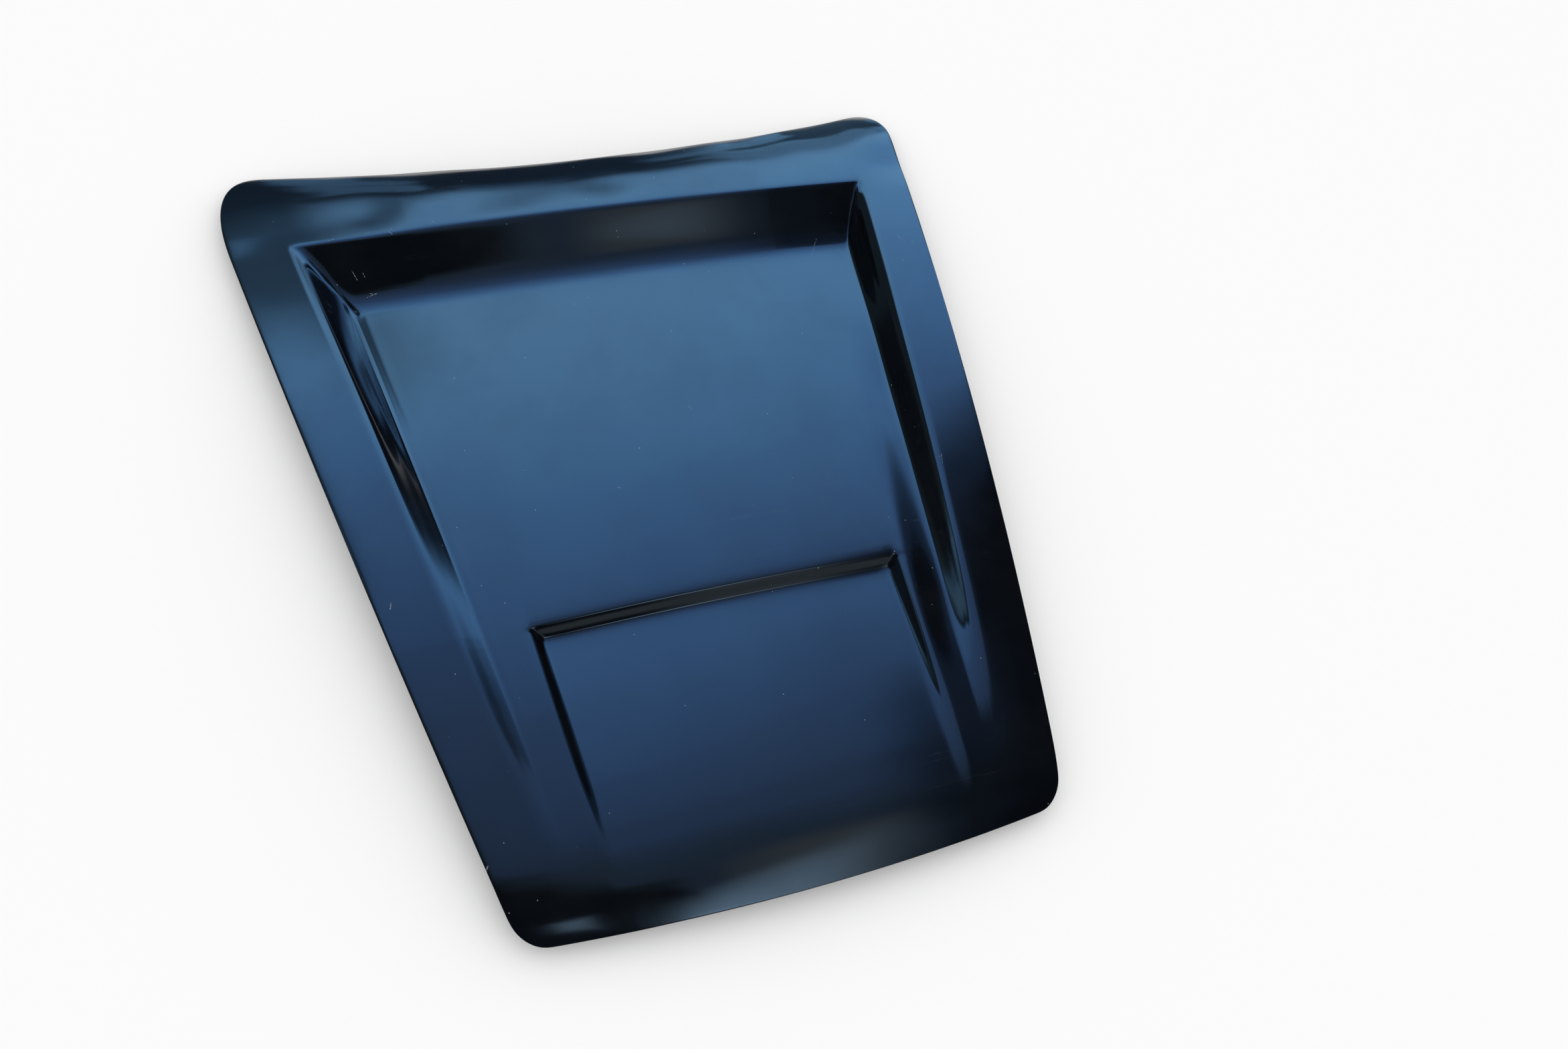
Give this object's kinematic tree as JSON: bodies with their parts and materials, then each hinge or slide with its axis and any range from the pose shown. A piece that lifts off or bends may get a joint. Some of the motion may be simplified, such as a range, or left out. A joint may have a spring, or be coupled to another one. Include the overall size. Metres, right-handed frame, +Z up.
{
  "type": "bonnet scoop",
  "caption": "Crowned moulded bonnet scoop: a bonding flange round a wedge-shaped tray that deepens towards its wide end, with a shallower wedge in its floor, in gloss black.",
  "frame": {"origin": "on the middle axis, halfway between the flange's two ends, at the height from which the flange's crown and arch rise", "axes": "+X across to the right, +Y from the narrow end to the wide end, +Z up out of the glossy outer face"},
  "size_m": [0.5847, 0.6756, 0.0354],
  "materials": {
    "gelcoat": "glossy black gelcoat, handled, with fine scratches and dust"
  },
  "bodies": {
    "root": {"scoop": "gelcoat"}
  },
  "joints": []
}
